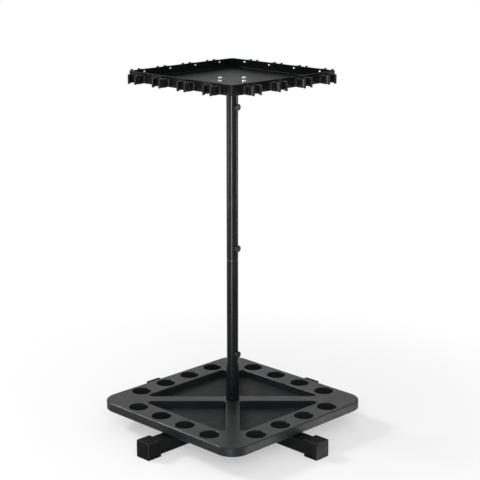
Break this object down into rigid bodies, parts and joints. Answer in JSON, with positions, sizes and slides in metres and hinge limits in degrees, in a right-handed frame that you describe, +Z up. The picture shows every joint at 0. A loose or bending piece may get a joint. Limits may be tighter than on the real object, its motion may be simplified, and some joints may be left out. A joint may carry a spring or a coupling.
{
  "type": "rod rack",
  "caption": "free-standing revolving rod rack: square board with butt holes and pockets on crossed legs, jointed post and a tray edged with C-clips",
  "frame": {"origin": "on the floor, under the middle of the post", "axes": "+Z up along the post; X and Y along the two legs and square to the board's edges"},
  "size_m": [0.509, 0.509, 0.754],
  "materials": {
    "leg_steel": "satin",
    "cap_plastic": "matte",
    "zinc_steel": "satin",
    "turntable_steel": "satin",
    "ball_steel": "polished",
    "cage_plastic": "matte",
    "board_black": "satin",
    "panel_black": "matte",
    "socket_black": "satin",
    "tube_black": "satin",
    "joiner_plastic": "matte",
    "knob_plastic": "satin",
    "tray_plastic": "satin",
    "clip_plastic": "satin"
  },
  "bodies": {
    "stand": {"leg_x": "leg_steel", "leg_y": "leg_steel", "foot_cap_front_left": "cap_plastic", "foot_cap_front_right": "cap_plastic", "foot_cap_back_right": "cap_plastic", "foot_cap_back_left": "cap_plastic", "leg_bolts": "zinc_steel", "leg_nuts": "zinc_steel", "turntable_lower_plate": "turntable_steel", "turntable_eyelet": "turntable_steel"},
    "ball_race": {"turntable_balls": "ball_steel", "turntable_ball_cage": "cage_plastic"},
    "rotor": {"turntable_upper_plate": "turntable_steel", "turntable_screws": "zinc_steel", "base_board": "board_black", "base_bottom_panel": "panel_black", "panel_screws": "zinc_steel", "post_socket": "socket_black", "post_bolt": "zinc_steel", "post_washer": "zinc_steel", "lower_tube": "tube_black", "tube_joiner": "joiner_plastic", "upper_tube": "tube_black", "tray_hub": "socket_black", "hub_screws": "zinc_steel", "tray": "tray_plastic", "clip_screws": "zinc_steel", "clip_front_left_1": "clip_plastic", "clip_front_left_2": "clip_plastic", "clip_front_left_3": "clip_plastic", "clip_front_left_4": "clip_plastic", "clip_front_right_1": "clip_plastic", "clip_front_right_2": "clip_plastic", "clip_front_right_3": "clip_plastic", "clip_front_right_4": "clip_plastic", "clip_back_right_1": "clip_plastic", "clip_back_right_2": "clip_plastic", "clip_back_right_3": "clip_plastic", "clip_back_right_4": "clip_plastic", "clip_back_left_1": "clip_plastic", "clip_back_left_2": "clip_plastic", "clip_back_left_3": "clip_plastic", "clip_back_left_4": "clip_plastic"},
    "knob_low": {"lock_knob_low": "knob_plastic", "lock_stud_low": "zinc_steel"},
    "knob_mid": {"lock_knob_mid": "knob_plastic", "lock_stud_mid": "zinc_steel"},
    "knob_top": {"lock_knob_top": "knob_plastic", "lock_stud_top": "zinc_steel"}
  },
  "joints": [
    {"name": "turntable_spin", "type": "hinge", "parent": "stand", "child": "rotor", "pos_m": [0, 0, 0.0365], "axis": [0, 0, 1], "continuous": true},
    {"name": "ball_race_spin", "type": "hinge", "parent": "stand", "child": "ball_race", "pos_m": [0, 0, 0.0365], "axis": [0, 0, 1], "continuous": true},
    {"name": "knob_low_turn", "type": "hinge", "parent": "rotor", "child": "knob_low", "pos_m": [0.0153, 0, 0.161], "axis": [1, 0, 0], "range_deg": [0, 720]},
    {"name": "knob_mid_turn", "type": "hinge", "parent": "rotor", "child": "knob_mid", "pos_m": [0.0153, 0, 0.39], "axis": [1, 0, 0], "range_deg": [0, 720]},
    {"name": "knob_top_turn", "type": "hinge", "parent": "rotor", "child": "knob_top", "pos_m": [0.0153, 0, 0.682], "axis": [1, 0, 0], "range_deg": [0, 720]}
  ],
  "couplings": [
    {"joint": "ball_race_spin", "follows": "turntable_spin", "ratio": 0.5}
  ]
}
